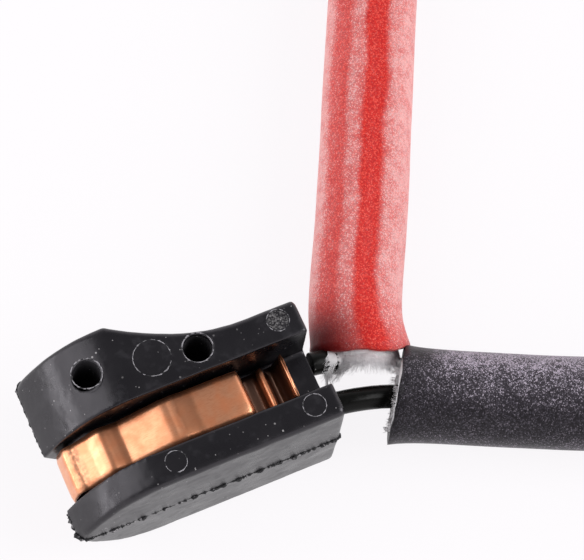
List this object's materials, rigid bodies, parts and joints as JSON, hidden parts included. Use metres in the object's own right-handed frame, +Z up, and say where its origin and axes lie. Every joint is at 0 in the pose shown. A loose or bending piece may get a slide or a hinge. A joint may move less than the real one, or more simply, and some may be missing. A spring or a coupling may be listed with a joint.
{
  "type": "brake pad wear sensor",
  "caption": "Slotted black plastic wear sensor head with a wavy leaf spring and two sleeved wire leads that run to a small plug connector.",
  "frame": {"origin": "below the middle of the sensor head, on the surface that it lies on", "axes": "+X from the head's round nose to its leads, +Y from the narrow cheek to the wide cheek, +Z up"},
  "size_m": [0.1667, 0.0844, 0.0148],
  "materials": {
    "black_moulding": "satin black glass-filled plastic, as moulded",
    "spring_bronze": "rolled bronze strip, satin with bright bends",
    "bare_copper": "bare copper wire",
    "wire_jacket": "glossy black wire insulation",
    "red_silicone": "red silicone over glass braid, dusted with talc",
    "black_silicone": "black silicone over glass braid, dusted with talc",
    "connector_plastic": "fine-grained black plastic",
    "lock_plastic": "orange plastic",
    "seal_rubber": "soft blue silicone rubber",
    "tinned_brass": "tin-plated sheet brass"
  },
  "bodies": {
    "root": {"head_body": "black_moulding", "retaining_spring": "spring_bronze", "contact_loop": "bare_copper", "red_lead_wire": "wire_jacket", "black_lead_wire": "wire_jacket", "red_sleeve": "red_silicone", "black_sleeve": "black_silicone", "connector_housing": "connector_plastic", "rear_cover": "connector_plastic", "secondary_lock": "lock_plastic", "red_wire_seal": "seal_rubber", "black_wire_seal": "seal_rubber", "ring_seal": "seal_rubber", "red_terminal": "tinned_brass", "black_terminal": "tinned_brass"}
  },
  "joints": []
}
